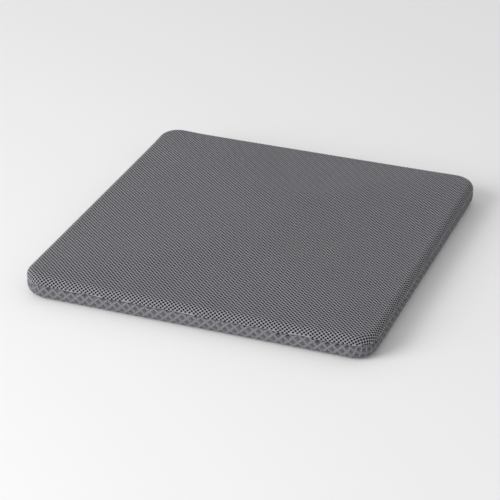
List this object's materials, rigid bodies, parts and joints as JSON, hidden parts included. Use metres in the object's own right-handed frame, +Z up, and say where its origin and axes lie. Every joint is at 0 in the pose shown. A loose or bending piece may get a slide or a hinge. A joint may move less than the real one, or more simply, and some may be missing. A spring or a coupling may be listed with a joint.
{
  "type": "kneeling pad",
  "caption": "Square foam kneeling and seat pad with a breathable mesh top, a raised-lattice grip underside and a zip in its rear seam.",
  "frame": {"origin": "centre of the pad's underside, on the surface that it rests on", "axes": "+Z up, +Y towards the rear side with the zip, -Y towards the front, +X to the right seen from the front"},
  "size_m": [0.3805, 0.3925, 0.033],
  "materials": {
    "spacer_mesh": "knitted polyester spacer mesh, matt grey",
    "grip_ground": "knitted ground fabric, dark grey",
    "grip_rubber": "raised elastomer lattice, light grey, matt",
    "thread": "spun polyester sewing thread",
    "lining_fabric": "white nonwoven",
    "wadding_fibre": "white polyester wadding",
    "foam": "open-cell polyurethane foam, cream, matt",
    "zip_tape": "woven polyester tape, dark grey",
    "zip_coil": "nylon coil, dark grey",
    "zip_metal": "die-cast zinc, painted dark grey",
    "label_satin": "white satin ribbon, blank"
  },
  "bodies": {
    "pad": {"mesh_top": "spacer_mesh", "grip_base": "grip_ground", "grip_lattice": "grip_rubber", "seam_thread": "thread", "lining_top": "lining_fabric", "lining_base": "lining_fabric", "wadding": "wadding_fibre", "foam_core": "foam", "zip_tape_upper": "zip_tape", "zip_tape_lower": "zip_tape", "zip_coil_upper": "zip_coil", "zip_coil_lower": "zip_coil", "zip_top_stops": "zip_metal", "zip_bottom_stop": "zip_metal", "zip_stitch_upper": "thread", "zip_stitch_lower": "thread", "bar_tacks": "thread", "care_label": "label_satin"},
    "slider": {"zip_slider": "zip_metal", "zip_bridge": "zip_metal"},
    "pull": {"zip_pull": "zip_metal"}
  },
  "joints": [
    {"name": "zip_run", "type": "slide", "parent": "pad", "child": "slider", "axis": [-1, 0, 0], "range_m": [0, 0.286]},
    {"name": "pull_swing", "type": "hinge", "parent": "slider", "child": "pull", "pos_m": [0.143, 0.1967, 0.0178], "axis": [0, 0, -1], "range_deg": [0, 170]}
  ]
}
